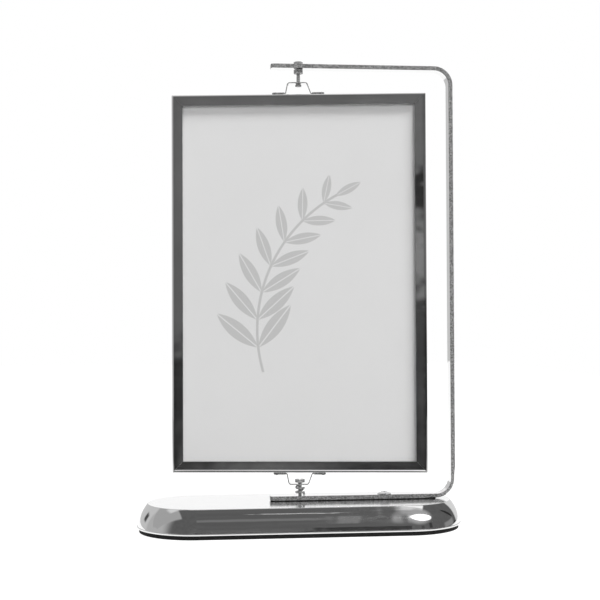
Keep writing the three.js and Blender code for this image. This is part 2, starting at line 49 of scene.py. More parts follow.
# Camera, in millimetres and degrees
CAMERA_FOCAL_PIXELS = 1181.42
CAMERA_PLACE = (-46.74, -477.73, 81.96)
CAMERA_YAW = 5.628
CAMERA_PITCH = 1.227
CAMERA_ROLL = -0.238

# Picture, glass and board
PICTURE_WIDTH = 100
PICTURE_HEIGHT = 150
PICTURE_THICKNESS = 0.3
GLASS_THICKNESS = 2
BOARD_THICKNESS = 1.5
STACK_GAP = 0.12
FRAME_TURN = -7.5

# Rails
RAIL_WALL = 0.6
RAIL_EDGE_RADIUS = 1.25
RAIL_OVERLAP = 3.1
RAIL_LIP_ROUNDING = 0.14
FRAME_CORNER_ROUNDING = 0.45
MITRE_GAP = 0.03
EDGE_PLAY = 0.9

# Hat brackets and rivets
HAT_HEIGHT = 5
HAT_SHEET = 0.4
HAT_FOOT_THICKNESS = 0.85
HAT_WIDTH = 4.5
HAT_TOP_HALF = 3.85
HAT_TOP_SHIFT = 0.4
HAT_FOOT_START = 5.15
HAT_FOOT_END = 10.6
HAT_HEM_GAP = 0.35
HAT_BEND_RADIUS = 1
HAT_CORNER_RADIUS = 0.7
HAT_EDGE_ROUNDING = 0.05
HAT_BEND_STEPS = 12
SEAT_GAP = 0.05
RIVET_PLACE = 9.4
RIVET_SHANK = 0.9
RIVET_HEAD = 1.6
RIVET_HEAD_HEIGHT = 0.45
RIVET_TAIL_HEIGHT = 0.3
RIVET_TAIL_CHAMFER = 0.08
RIVET_RIM = 0.04

# Base
SOLE_THICKNESS = 1.75
SOLE_INSET = 1
SOLE_ROUNDING = 0.15
BASE_HEIGHT = 11.2
TOP_LENGTH = 122.4
TOP_DEPTH = 39.8
SIDE_SPREAD = 4.1
SIDE_RADIUS = 16
TOP_EDGE_ROUNDING = 0.35
SIDE_START_DROP = 0.15
LIP_HEIGHT = 0.75
LIP_OUT = 0.3
LIP_SHOULDER = [(0.16, 0.03), (0.06, 0.1), (0, 0.22)]
LIP_FOOT = [(0, 0.12), (0.04, 0.03), (0.12, 0)]
SHELL_WALL = 1.2
BASE_END_STEPS = 72
BASE_SIDE_STEPS = 48
BASE_EDGE_STEPS = 4
BASE_CURVE_STEPS = 24
BASE_INSIDE_STEPS = 8
BASE_TOP_HAZE = 0.09

# Arm
ARM_THICKNESS = 1.7
ARM_WIDTH = 5.6
ARM_BEND_RADIUS = 6
LOWER_ARM_TAIL = 12.15
UPPER_ARM_TAIL = 11.3
ARM_CORNER_RADIUS = 1.4
ARM_CLEARANCE = 10.2
ARM_EDGE_ROUNDING = 0.14
ARM_BEND_STEPS = 32
BEND_WEAR = 1.1
BEND_WEAR_REACH = 6
WEAR_STATION_GAP = 1
PAD_THICKNESS = 0.3

# Pivots, nuts and screws
PIVOT_DIAMETER = 1.45
PIVOT_HOLE_CLEARANCE = 0.25
THREAD_CLEARANCE = 0.05
THREAD_PITCH = 0.3
THREAD_DEPTH = 0.1
NUT_ACROSS_FLATS = 3.2
NUT_HEIGHT = 1.25
JAM_NUT_HEIGHT = 0.9
NUT_CHAMFER_FROM = 1.13
NUT_CHAMFER_ANGLE = 30
NUT_EDGE_BREAK = 0.02
NUT_FACE_SHARE = 0.98
NUT_SINK_WIDTH = 0.16
NUT_SINK_DEPTH = 0.18
NUT_STEPS = 96
PIVOT_TIP = 0.3
TIP_NARROWING = 0.2
TIP_CHAMFER = 0.1
THREAD_RUN_IN = 0.02
THREAD_RUN_OUT = 0.05
THREAD_BEYOND = 1.2
PIN_STEPS = 48
AXIS_RADIUS = 0.004
UPPER_PIVOT_REACH = 3.77
UPPER_HEAD_DIAMETER = 2.5
UPPER_HEAD_HEIGHT = 0.8
LOWER_HEAD_DIAMETER = 4
LOWER_HEAD_HEIGHT = 1.2
LOWER_HEAD_LIFT = 0.45
SLOT_WIDTH = 0.6
SLOT_DEPTH = 0.45
PIVOT_SEAT_GAP = 0.2
HEAD_ROUNDING = 0.12
ARM_SCREW_PLACE = 34.5
ARM_SCREW_DIAMETER = 2.5
ARM_SCREW_HEAD = 5.6
ARM_SCREW_HEAD_HEIGHT = 1
ARM_SCREW_RIM = 0.22
ARM_SCREW_CHAMFER = 0.06
ARM_NUT_HEIGHT = 2
ARM_SCREW_TIP = 0.3
CROSS_LENGTH = 2.6
CROSS_WIDTH = 0.55
CROSS_DEPTH = 0.5

# Split lock washer
WASHER_DIAMETER = 3.7
WASHER_BORE_CLEARANCE = 0.1
WASHER_THICKNESS = 0.75
WASHER_RISE = 0.3
WASHER_SPLIT = 0.3
WASHER_ROUNDING = 0.07

# Spring
SPRING_SPACE = 4.45
SPRING_WIRE = 0.8
SPRING_OUTER = 4.05
SPRING_TOP = 3.3
SPRING_TURNS = 1.75
SPRING_LEG = 0.75
SPRING_RISE_START = 0.75
SPRING_RISE_END = 1
SPRING_RISE_SHARE = 0.65
SPRING_TOP_START = 1.375
SPRING_SEAT_GAP = 0.15
SPRING_TURN_STEPS = 32
SPRING_WIRE_STEPS = 14

# Places worked out from the values above
STACK_DEPTH = 2 * (GLASS_THICKNESS + PICTURE_THICKNESS) + BOARD_THICKNESS + 6 * STACK_GAP
RAIL_DEPTH = STACK_DEPTH + 2 * RAIL_WALL
RAIL_FACE = RAIL_WALL + EDGE_PLAY + RAIL_OVERLAP
FRAME_WIDTH = PICTURE_WIDTH + 2 * (EDGE_PLAY + RAIL_WALL)
FRAME_HEIGHT = PICTURE_HEIGHT + 2 * (EDGE_PLAY + RAIL_WALL)
ARM_SEAT = BASE_HEIGHT + PAD_THICKNESS
ARM_TOP = ARM_SEAT + ARM_THICKNESS
LOWER_HAT_FACE = ARM_TOP + SPRING_SPACE
FRAME_BOTTOM = LOWER_HAT_FACE + HAT_HEIGHT
FRAME_TOP = FRAME_BOTTOM + FRAME_HEIGHT
FRAME_MIDDLE = (FRAME_BOTTOM + FRAME_TOP) / 2
UPPER_HAT_FACE = FRAME_TOP + HAT_HEIGHT
JAM_NUT_TOP = UPPER_HAT_FACE + UPPER_PIVOT_REACH + JAM_NUT_HEIGHT
UPPER_ARM_UNDER = JAM_NUT_TOP + WASHER_THICKNESS + WASHER_RISE
UPPER_ARM_TOP = UPPER_ARM_UNDER + ARM_THICKNESS
ARM_INNER_FACE = FRAME_WIDTH / 2 + ARM_CLEARANCE
SHELL_CEILING = BASE_HEIGHT - SHELL_WALL


# Node materials


def grey(level):
    return (level, level, level)


class Tree:
    """A node tree with short calls for the nodes used here. Its noises lie on its place socket."""

    def __init__(self, owner, place):
        owner.use_nodes = True
        self.nodes = owner.node_tree.nodes
        self.links = owner.node_tree.links
        self.nodes.clear()
        self.place = self.node("TexCoord").outputs[place]

    def node(self, kind, *values, inputs=None, **settings):
        """A new node with these settings, its first inputs set to the values and others by name."""
        made = self.nodes.new("ShaderNode" + kind)
        for name, value in settings.items():
            setattr(made, name, value)
        for socket, value in zip(made.inputs, values):
            self.put(socket, value)
        for name, value in (inputs or {}).items():
            self.put(made.inputs[name], value)
        return made

    def put(self, target, value):
        """Sets a socket to a number or colour, or links it to another socket."""
        if isinstance(value, bpy.types.NodeSocket):
            self.links.new(value, target)
        else:
            target.default_value = value

    def math(self, operation, *values):
        return self.node("Math", *values, operation=operation).outputs[0]

    def vector(self, operation, *values):
        made = self.node("VectorMath", *values, operation=operation)
        return made.outputs["Value" if operation == "LENGTH" else "Vector"]

    def split(self, vector):
        """The three parts of a vector."""
        return self.node("SeparateXYZ", vector).outputs

    def ranged(self, value, low, high, to_low=0.0, to_high=1.0):
        """Maps low..high to to_low..to_high with soft ends, held beyond both."""
        limits = {"From Min": low, "From Max": high, "To Min": to_low, "To Max": to_high}
        made = self.node("MapRange", value, inputs=limits, interpolation_type="SMOOTHSTEP")
        return made.outputs["Result"]

    def noise(self, scale, detail=3.0, roughness=0.5, stretch=None):
        place = self.place if stretch is None else self.vector("MULTIPLY", self.place, stretch)
        grain = {"Scale": scale, "Detail": detail, "Roughness": roughness}
        return self.node("TexNoise", place, inputs=grain).outputs["Fac"]

    def blend(self, factor, first, second):
        made = self.node("Mix", factor, data_type="RGBA")
        for i, value in ((6, first), (7, second)):
            self.put(made.inputs[i], (*value, 1.0) if isinstance(value, tuple) else value)
        return made.outputs[2]

    def greys(self, factor, first, second):
        return self.blend(factor, grey(first), grey(second))

    def bump(self, height, strength, distance):
        relief = {"Strength": strength, "Distance": distance, "Height": height}
        return self.node("Bump", inputs=relief).outputs["Normal"]


class Look(Tree):
    """The tree of a new material with a Principled shader."""

    def __init__(self, name, metallic=0.0, specular=0.5):
        self.material = bpy.data.materials.new(name)
        super().__init__(self.material, "Object")
        self.shader = self.node("BsdfPrincipled")
        self.output = self.node("OutputMaterial", self.shader.outputs[0])
        self.set("Metallic", metallic)
        self.set("Specular IOR Level", specular)

    def set(self, name, value):
        self.put(self.shader.inputs[name], value)

    def dress(self, colour, roughness, bumps=None):
        """Gives the material its colour, roughness and bumps."""
        self.set("Base Color", colour)
        self.set("Roughness", roughness)
        if bumps is not None:
            self.set("Normal", bumps)
        return self.material


def polished_chrome(name, haze_over=None):
    """Bright chrome plate: faint haze, very fine wipe marks and the long waves of a polished strip.
    Above the height haze_over, the plate is duller."""
    look = Look(name, metallic=1.0)
    haze = look.noise(60, detail=4)
    wipes = look.noise(900, detail=2, stretch=(0.12, 1, 1))
    roughness = look.ranged(look.math("MULTIPLY", haze, wipes), 0.1, 0.5, 0.035, 0.085)
    if haze_over is not None:
        height = look.split(look.place)[2]
        dull = look.ranged(height, (haze_over - 0.1) * MM, haze_over * MM, 0.0, BASE_TOP_HAZE)
        roughness = look.math("ADD", roughness, dull)
    waves = look.noise(110, detail=1)
    return look.dress(look.greys(haze, 0.78, 0.84), roughness, look.bump(waves, 0.12, 0.0006))


def sheared_edge():
    """The sheared edge of the strip: plated over, but still torn and speckled."""
    look = Look("sheared_edge", metallic=0.4)
    torn = look.noise(1700, roughness=0.7)
    pits = look.noise(3600, detail=2)
    colour = look.greys(look.ranged(torn, 0.35, 0.65), 0.13, 0.42)
    height = look.math("ADD", torn, look.math("MULTIPLY", pits, 0.4))
    return look.dress(colour, look.ranged(pits, 0.3, 0.7, 0.22, 0.42), look.bump(height, 0.7, 0.00016))


def bright_steel():
    """Zinc-plated steel of the screws, nuts and spring, with turning marks."""
    look = Look("bright_steel", metallic=0.6)
    marks = look.noise(2200, detail=2, stretch=(0.3, 0.3, 2.5))
    colour = look.greys(look.noise(420, detail=4), 0.36, 0.52)
    return look.dress(colour, look.ranged(marks, 0.3, 0.7, 0.14, 0.3), look.bump(marks, 0.15, 0.00005))


def black_sole():
    """Matt black foam rubber with fine grain."""
    look = Look("black_sole", specular=0.25)
    grain = look.noise(1600, detail=4, roughness=0.65)
    colour = look.greys(look.noise(90), 0.010, 0.022)
    return look.dress(colour, look.ranged(grain, 0.3, 0.7, 0.7, 0.95), look.bump(grain, 0.5, 0.0001))


def raw_iron():
    """Unplated ballast plate."""
    look = Look("raw_iron", metallic=0.8)
    scale = look.noise(140, detail=5)
    return look.dress(look.greys(scale, 0.09, 0.19), look.ranged(scale, 0.3, 0.7, 0.5, 0.8))


def grey_board():
    """Grey card with short fibres."""
    look = Look("grey_board", specular=0.2)
    fibres = look.noise(1300, stretch=(1, 1, 0.25))
    colour = look.blend(fibres, (0.36, 0.35, 0.33), (0.5, 0.49, 0.46))
    return look.dress(colour, look.ranged(fibres, 0.3, 0.7, 0.85, 0.95))


# Printed sprig: place and length of its leaves along the stem, on a picture whose middle is zero
STEM_RADIUS = 62.0
STEM_CENTRE = (45.0, -19.0)
STEM_WIDTH = 0.45
STEM_FROM = 118.0
STEM_TO = 196.0
LEAF_STEPS = 7
LEAF_LONGEST = 11.0
LEAF_SHORTEST = 6.0
LEAF_SLENDERNESS = 0.29
LEAF_SPREAD = 44.0
LEAF_VEIN = (0.05, 0.09)
FIRST_LEAF_SHARE = 0.12
LEAF_STRETCH_SHARE = 0.8
TIP_LEAF_REACH = 0.8


def sprig_leaves():
    """The middle, the turn and the half length of each leaf: pairs along the stem and one at its tip."""
    leaves = []

    def add(angle, reach, turn, length):
        foot_x = STEM_CENTRE[0] + STEM_RADIUS * math.cos(angle)
        foot_z = STEM_CENTRE[1] + STEM_RADIUS * math.sin(angle)
        middle = (foot_x + reach * math.cos(turn), foot_z + reach * math.sin(turn))
        leaves.append((middle, turn, length))

    for step in range(LEAF_STEPS):
        share = step / (LEAF_STEPS - 1)
        along_stem = FIRST_LEAF_SHARE + LEAF_STRETCH_SHARE * share
        angle = math.radians(STEM_TO + (STEM_FROM - STEM_TO) * along_stem)
        length = LEAF_LONGEST + (LEAF_SHORTEST - LEAF_LONGEST) * share
        for side in (-1, 1):
            add(angle, length, angle - math.pi / 2 + side * math.radians(LEAF_SPREAD), length)
    end = math.radians(STEM_FROM)
    add(end, LEAF_SHORTEST * TIP_LEAF_REACH, end - math.pi / 2, LEAF_SHORTEST)
    return leaves


def sprig_mask(look, place):
    """One inside the leaves and the stem of the printed sprig, zero outside."""
    flat = look.vector("MULTIPLY", place, (1.0, 0.0, 1.0))
    mask = 0.0
    for (x, z), turn, length in sprig_leaves():
        inputs = {"Location": (x * MM, 0, FRAME_MIDDLE * MM + z * MM), "Rotation": (0, -turn, 0)}
        inputs["Scale"] = (length * MM, 1, length * LEAF_SLENDERNESS * MM)
        leaf = look.node("Mapping", flat, inputs=inputs, vector_type="TEXTURE")
        along, _, across = look.split(leaf.outputs[0])
        across = look.math("ABSOLUTE", across)
        out = look.math("ADD", look.math("POWER", look.math("ABSOLUTE", along), 2.0), across)
        inside = look.ranged(out, 0.97, 1.03, 1.0, 0.0)
        vein = look.ranged(across, *LEAF_VEIN)
        mask = look.math("MAXIMUM", mask, look.math("MULTIPLY", inside, vein))
    centre = (STEM_CENTRE[0] * MM, 0.0, (FRAME_MIDDLE + STEM_CENTRE[1]) * MM)
    from_centre = look.vector("SUBTRACT", flat, centre)
    off_stem = look.math("SUBTRACT", look.vector("LENGTH", from_centre), STEM_RADIUS * MM)
    width = STEM_WIDTH * MM
    line = look.ranged(look.math("ABSOLUTE", off_stem), width, width * 1.3, 1.0, 0.0)
    x, _, z = look.split(from_centre)
    angle = look.math("ARCTAN2", z, look.math("MULTIPLY", x, -1.0))
    after_start = look.math("GREATER_THAN", angle, math.radians(180 - STEM_TO))
    before_end = look.math("LESS_THAN", angle, math.radians(180 - STEM_FROM))
    stem = look.math("MULTIPLY", look.math("MULTIPLY", line, after_start), before_end)
    return look.math("MAXIMUM", mask, stem)


def printed_paper():
    """Pale grey matt paper with a plain printed sprig in a darker grey."""
    look = Look("printed_paper", specular=0.3)
    turn_back = {"Rotation": (0, 0, -math.radians(FRAME_TURN))}
    upright = look.node("Mapping", look.place, inputs=turn_back, vector_type="POINT")
    sprig = sprig_mask(look, upright.outputs[0])
    grain = look.noise(2600)
    sheet = look.greys(look.noise(30, detail=2), 0.695, 0.725)
    colour = look.blend(sprig, sheet, look.greys(grain, 0.5, 0.53))
    return look.dress(colour, look.ranged(grain, 0.3, 0.7, 0.8, 0.92), look.bump(grain, 0.1, 0.00002))


def clear_glass():
    """Clear flat glass that lets the light of lamps and of pale surfaces through."""
    look = Look("clear_glass")
    look.set("Transmission Weight", 1.0)
    look.set("IOR", 1.5)
    rays = look.node("LightPath").outputs
    clear = look.node("BsdfTransparent", (0.96, 0.96, 0.96, 1)).outputs[0]
    shown = look.shader.outputs[0]
    for ray in ("Is Diffuse Ray", "Is Shadow Ray"):
        shown = look.node("MixShader", rays[ray], shown, clear).outputs[0]
    look.put(look.output.inputs["Surface"], shown)
    return look.dress((0.98, 0.98, 0.98, 1), look.ranged(look.noise(50), 0.35, 0.75, 0.0, 0.012))


CHROME = polished_chrome("polished_chrome")
BASE_CHROME = polished_chrome("base_chrome", BASE_HEIGHT - 0.05)
SHEARED = sheared_edge()
STEEL = bright_steel()
SOLE = black_sole()
IRON = raw_iron()
BOARD = grey_board()
PAPER = printed_paper()
GLASS = clear_glass()

# Meshes


def skin(rings, looped=False):
    """Points and faces of a surface through rings of equally many points, ends closed unless looped."""
    count = len(rings[0])
    points = [point for ring in rings for point in ring]
    faces = []
    for i in range(len(rings) if looped else len(rings) - 1):
        a = i * count
        b = ((i + 1) % len(rings)) * count
        for j in range(count):
            k = (j + 1) % count
            faces.append((a + j, a + k, b + k, b + j))
    if not looped:
        faces.append(tuple(reversed(range(count))))
        faces.append(tuple(range((len(rings) - 1) * count, len(rings) * count)))
    return points, faces


def arc(radius, centre_r, centre_z, start, end, steps):
    """Points (r, z) of an arc between two angles in degrees."""
    points = []
    for step in range(steps + 1):
        angle = math.radians(start + (end - start) * step / steps)
        points.append((centre_r + radius * math.cos(angle), centre_z + radius * math.sin(angle)))
    return points


def circle(radius, height, steps, x=0.0, wave=None):
    """A level ring; wave(angle, height) is added to its radius."""
    ring = []
    for step in range(steps):
        angle = 2 * math.pi * step / steps
        reach = radius + (wave(angle, height) if wave else 0)
        ring.append((x + reach * math.cos(angle), reach * math.sin(angle), height))
    return ring


def make_piece(name, shape, looks, sharp_degrees=38.0, pick=None, turn=None):
    """A mesh object from (points, faces) in millimetres. pick(normal, centre) says which look a face
    has, and turn is a matrix for the points."""
    points, faces = shape
    mesh = bpy.data.meshes.new(name)
    mesh.from_pydata([Vector(p) * MM for p in points], [], faces)
    finish_mesh(mesh, sharp_degrees, pick)
    for look in looks:
        mesh.materials.append(look)
    if turn is not None:
        mesh.transform(turn)
    made = bpy.data.objects.new(name, mesh)
    bpy.context.scene.collection.objects.link(made)
    return made


def finish_mesh(mesh, sharp_degrees, pick=None):
    """Outward normals, smooth faces, sharp edges by angle, and the look of each face."""
    work = bmesh.new()
    work.from_mesh(mesh)
    bmesh.ops.remove_doubles(work, verts=work.verts, dist=1e-7)
    bmesh.ops.recalc_face_normals(work, faces=work.faces)
    limit = math.radians(sharp_degrees)
    for edge in work.edges:
        edge.smooth = len(edge.link_faces) == 2 and edge.calc_face_angle(0) < limit
    for face in work.faces:
        face.smooth = True
        if pick:
            face.material_index = pick(face.normal, face.calc_center_median() / MM)
    work.to_mesh(mesh)
    work.free()


def weighted(piece):
    """Keeps big flat faces flat beside their rounded edges."""
    modifier = piece.modifiers.new("flat_faces", "WEIGHTED_NORMAL")
    modifier.keep_sharp = True
    modifier.weight = 80
    return piece


def carve(piece, cutters, sharp_degrees=38.0, operation="DIFFERENCE"):
    """Cuts shapes out of a piece, or keeps what lies inside them, and stores the result as its mesh."""
    helpers = [make_piece(piece.name + "_cutter", shape, []) for shape in cutters]
    for helper in helpers:
        modifier = piece.modifiers.new("cut", "BOOLEAN")
        modifier.operation = operation
        modifier.solver = "EXACT"
        modifier.object = helper
    bpy.context.view_layer.update()
    ready = piece.evaluated_get(bpy.context.evaluated_depsgraph_get())
    mesh = bpy.data.meshes.new_from_object(ready)
    piece.modifiers.clear()
    piece.data = mesh
    finish_mesh(mesh, sharp_degrees)
    for helper in helpers:
        bpy.data.objects.remove(helper)
    return piece


def box(size, middle):
    """A cutter's box."""
    x, y, z = (length / 2 for length in size)
    ring = [(-x, -y), (x, -y), (x, y), (-x, y)]
    return skin([[(middle[0] + a, middle[1] + b, middle[2] + c) for a, b in ring] for c in (-z, z)])


def settle(piece, body, slot, *nodes):
    """Rides a piece on its body and hides the CAD nodes it stands for. The slot, its finish, is not
    used.
    """
    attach(piece, body)
    if nodes:
        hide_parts(*nodes)
    return piece


FRAME_MATRIX = Matrix.Rotation(math.radians(FRAME_TURN), 4, "Z")
UPSIDE_DOWN = Matrix.Rotation(math.pi, 4, "X")


def frame_place(height, upside_down=False):
    """The matrix of a piece built at height zero in the upright frame."""
    lift = Matrix.Translation((0, 0, height * MM))
    return FRAME_MATRIX @ lift @ (UPSIDE_DOWN if upside_down else Matrix.Identity(4))


# Base


def side_offset(height):
    """How far the shell's side stands out from the top face's edge at a height."""
    drop = BASE_HEIGHT - SOLE_THICKNESS - LIP_HEIGHT
    chord = math.hypot(SIDE_SPREAD, drop)
    rise = math.sqrt(SIDE_RADIUS**2 - (chord / 2) ** 2)
    centre_x = SIDE_SPREAD / 2 - rise * drop / chord
    centre_z = BASE_HEIGHT - drop / 2 - rise * SIDE_SPREAD / chord
    return centre_x + math.sqrt(SIDE_RADIUS**2 - (height - centre_z) ** 2)


def base_ring(offset, height):
    """A level ring with straight long sides and half-round ends."""
    straight = (TOP_LENGTH - TOP_DEPTH) / 2
    radius = TOP_DEPTH / 2 + offset
    ring = []
    for end in (1, -1):
        for step in range(BASE_END_STEPS + 1):
            angle = math.pi * step / BASE_END_STEPS - math.pi / 2
            x = end * (straight + radius * math.cos(angle))
            ring.append((x, end * radius * math.sin(angle), height))
        for step in range(1, BASE_SIDE_STEPS):
            ring.append((end * straight * (1 - 2 * step / BASE_SIDE_STEPS), end * radius, height))
    return ring


def base_shell():
    lip_top = SOLE_THICKNESS + LIP_HEIGHT
    r = TOP_EDGE_ROUNDING
    reach = r * math.tan(math.radians(22.5))
    profile = arc(r, -reach, BASE_HEIGHT - r, 90, 45, BASE_EDGE_STEPS)
    start = profile[-1][1] - SIDE_START_DROP
    for step in range(BASE_CURVE_STEPS + 1):
        height = start + (lip_top - start) * step / BASE_CURVE_STEPS
        profile.append((side_offset(height), height))
    out = SIDE_SPREAD + LIP_OUT
    profile += [(out - inward, lip_top - down) for inward, down in LIP_SHOULDER]
    profile += [(out - inward, SOLE_THICKNESS + up) for inward, up in LIP_FOOT]
    profile.append((SIDE_SPREAD - SHELL_WALL, SOLE_THICKNESS))
    for step in range(BASE_INSIDE_STEPS + 1):
        height = lip_top + (SHELL_CEILING - lip_top) * step / BASE_INSIDE_STEPS
        profile.append((side_offset(height) - SHELL_WALL, height))
    shape = skin([base_ring(offset, height) for offset, height in profile])
    return weighted(make_piece("chrome_base", shape, [BASE_CHROME], sharp_degrees=30))


def base_sole():
    out = SIDE_SPREAD + LIP_OUT - SOLE_INSET
    r = SOLE_ROUNDING
    profile = [(out - r, 0), (out - 0.3 * r, 0.3 * r), (out, r)]
    profile += [(out, SOLE_THICKNESS - r), (out - 0.3 * r, SOLE_THICKNESS - 0.3 * r)]
    profile += [(out - r, SOLE_THICKNESS)]
    shape = skin([base_ring(offset, height) for offset, height in profile])
    return weighted(make_piece("rubber_sole", shape, [SOLE]))


# Bent strips


def bent_path(corners, bend_radii, bend_steps, end_radius, end_steps=10):
    """Stations (x, z, normal x, normal z, run) along a path in the XZ plane whose corners between the
    ends are rounded with these radii."""
    stations = []

    def add(x, z, normal_x, normal_z):
        run = 0.0
        if stations:
            run = stations[-1][4] + math.hypot(x - stations[-1][0], z - stations[-1][1])
        stations.append((x, z, normal_x, normal_z, run))

    legs = []
    for (from_x, from_z), (to_x, to_z) in zip(corners, corners[1:]):
        length = math.hypot(to_x - from_x, to_z - from_z)
        legs.append(((to_x - from_x) / length, (to_z - from_z) / length))
    ends = [end_radius * (1 - math.cos(i * math.pi / (2 * end_steps))) for i in range(end_steps + 1)]
    dir_x, dir_z = legs[0]
    for along in ends:
        add(corners[0][0] + dir_x * along, corners[0][1] + dir_z * along, -dir_z, dir_x)
    for i in range(1, len(legs)):
        (bx, bz), (ax, az) = legs[i - 1], legs[i]
        turn = math.atan2(bx * az - bz * ax, bx * ax + bz * az)
        side = 1 if turn > 0 else -1
        bend_radius = bend_radii[i - 1]
        reach = bend_radius * math.tan(abs(turn) / 2)
        start_x = corners[i][0] - bx * reach
        start_z = corners[i][1] - bz * reach
        centre_x = start_x - bz * bend_radius * side
        centre_z = start_z + bx * bend_radius * side
        for step in range(bend_steps + 1):
            angle = turn * step / bend_steps
            normal_x = -bz * math.cos(angle) - bx * math.sin(angle)
            normal_z = bx * math.cos(angle) - bz * math.sin(angle)
            away = bend_radius * side
            add(centre_x - normal_x * away, centre_z - normal_z * away, normal_x, normal_z)
    dir_x, dir_z = legs[-1]
    for back in reversed(ends):
        add(corners[-1][0] - dir_x * back, corners[-1][1] - dir_z * back, -dir_z, dir_x)
    return stations


def closer_stations(stations, longest):
    """Adds stations on straight stretches, so that neighbours stand no further apart than longest."""
    closer = [stations[0]]
    for before, after in zip(stations, stations[1:]):
        count = math.ceil((after[4] - before[4]) / longest)
        for i in range(1, count + 1):
            closer.append(tuple(a + (b - a) * i / count for a, b in zip(before, after)))
    return closer


def strip_section(half_width, half_thickness, rounding, back_rounding):
    """A rectangle with rounded corners as (across, out) points; its back is the side of negative out."""
    section = []
    for side_a, side_o, start in ((1, 1, 0), (-1, 1, 90), (-1, -1, 180), (1, -1, 270)):
        radius = rounding if side_o > 0 else back_rounding
        across, out = side_a * (half_width - radius), side_o * (half_thickness - radius)
        section += arc(radius, across, out, start, start + 90, 5)
    return section


def bent_strip(corners, bend_radii, bend_steps, thickness, width, end_radius, rounding, wear=None):
    """A strip along a bent path with round ends. wear(x, z) is the rounding of its back edges there."""
    stations = bent_path(corners, bend_radii, bend_steps, end_radius)
    if wear:
        stations = closer_stations(stations, WEAR_STATION_GAP)
    total = stations[-1][4]
    rings = []
    for x, z, normal_x, normal_z, run in stations:
        left = max(0.0, end_radius - min(run, total - run))
        half = width / 2 - end_radius + math.sqrt(max(0.0, end_radius**2 - left**2))
        section = strip_section(half, thickness / 2, rounding, wear(x, z) if wear else rounding)
        rings.append([(x + normal_x * out, across, z + normal_z * out) for across, out in section])
    return skin(rings)


def bend_wear(x, z):
    """The strip's back edges are drawn round in and beside the lower bend."""
    away = max(0.0, ARM_INNER_FACE - ARM_BEND_RADIUS - x, z - ARM_TOP - ARM_BEND_RADIUS)
    return BEND_WEAR + (ARM_EDGE_ROUNDING - BEND_WEAR) * eased(away, 0, BEND_WEAR_REACH)


def bracket_arm():
    half = ARM_THICKNESS / 2
    corners = [
        (-LOWER_ARM_TAIL, ARM_SEAT + half),
        (ARM_INNER_FACE + half, ARM_SEAT + half),
        (ARM_INNER_FACE + half, UPPER_ARM_UNDER + half),
        (-UPPER_ARM_TAIL, UPPER_ARM_UNDER + half),
    ]
    radii = [ARM_BEND_RADIUS + half] * 2
    size = (ARM_THICKNESS, ARM_WIDTH, ARM_CORNER_RADIUS, ARM_EDGE_ROUNDING)
    shape = bent_strip(corners, radii, ARM_BEND_STEPS, *size, bend_wear)
    edge = ARM_WIDTH / 2 - ARM_EDGE_ROUNDING

    def pick(normal, centre):
        """Sheared metal on the strip's long edges and round ends."""
        return int(abs(centre.y) > edge or abs(normal.x) > 0.5 > centre.x / ARM_INNER_FACE)

    return weighted(make_piece("bent_arm", shape, [CHROME, SHEARED], pick=pick))


def hat_bracket(name, place):
    """A bracket bent from one strip, its feet folded back on themselves."""
    half = HAT_SHEET / 2
    upper = HAT_FOOT_THICKNESS - half
    fold = (upper - half) / 2
    foot = [
        (-HAT_FOOT_START - HAT_HEM_GAP, upper),
        (half - HAT_FOOT_END, upper),
        (half - HAT_FOOT_END, half),
        (-HAT_FOOT_START, half),
    ]
    top = [(side * HAT_TOP_HALF - HAT_TOP_SHIFT, HAT_HEIGHT - half) for side in (-1, 1)]
    corners = foot + top + [(-x, z) for x, z in reversed(foot)]
    radii = [fold, fold] + [HAT_BEND_RADIUS] * 4 + [fold, fold]
    size = (HAT_SHEET, HAT_WIDTH, HAT_CORNER_RADIUS, HAT_EDGE_ROUNDING)
    shape = bent_strip(corners, radii, HAT_BEND_STEPS, *size)
    edge = HAT_WIDTH / 2 - HAT_EDGE_ROUNDING

    def pick(normal, centre):
        return int(abs(centre.y) > edge)

    bracket = make_piece(name, shape, [CHROME, SHEARED], pick=pick)
    hole = PIVOT_DIAMETER / 2 + PIVOT_HOLE_CLEARANCE
    bore = skin([circle(hole, z, 32) for z in (HAT_HEIGHT - 1.5, HAT_HEIGHT + 1)])
    carve(bracket, [bore])
    bracket.data.transform(place)
    return weighted(bracket)


# Turned pieces


def turned(profile, steps, x):
    """A turned shape from (radius, height) points; both ends are closed by flat faces."""
    return skin([circle(max(radius, AXIS_RADIUS), height, steps, x) for radius, height in profile])


def dome(diameter, seat, height, steps=10):
    """Points from a dome's foot to its crown, on a ball that gives this height."""
    radius = diameter / 2
    ball = (radius**2 + height**2) / (2 * height)
    spread = math.asin(radius / ball)
    points = []
    for step in range(steps + 1):
        angle = spread * (1 - step / steps)
        points.append((ball * math.sin(angle), seat + ball * math.cos(angle) - ball + height))
    return points


def thread_wave(depth):
    """A thread's groove: how far the radius falls short, by angle and height."""
    def wave(angle, height):
        phase = (height / THREAD_PITCH - angle / (2 * math.pi)) % 1.0
        return -depth * abs(2 * phase - 1)
    return wave


def threaded_rings(radius, low, high):
    """Rings of a threaded shank, eight for each turn of the thread."""
    count = max(2, round((high - low) / THREAD_PITCH * 8))
    wave = thread_wave(THREAD_DEPTH)
    heights = [low + (high - low) * i / count for i in range(count + 1)]
    return [circle(radius, height, PIN_STEPS, wave=wave) for height in heights]


def rounded_head(radius, low, high):
    """Points up the side of a flat head with two rounded edges."""
    r = HEAD_ROUNDING
    return arc(r, radius - r, low + r, -90, 0, 4) + arc(r, radius - r, high - r, 0, 90, 4)


def pin_tip(shank, tip, direction):
    """The two rings of a chamfered tip, the last one at its end."""
    start = circle(shank - THREAD_DEPTH, tip - direction * TIP_CHAMFER, PIN_STEPS)
    return [start, circle(shank - TIP_NARROWING, tip, PIN_STEPS)]


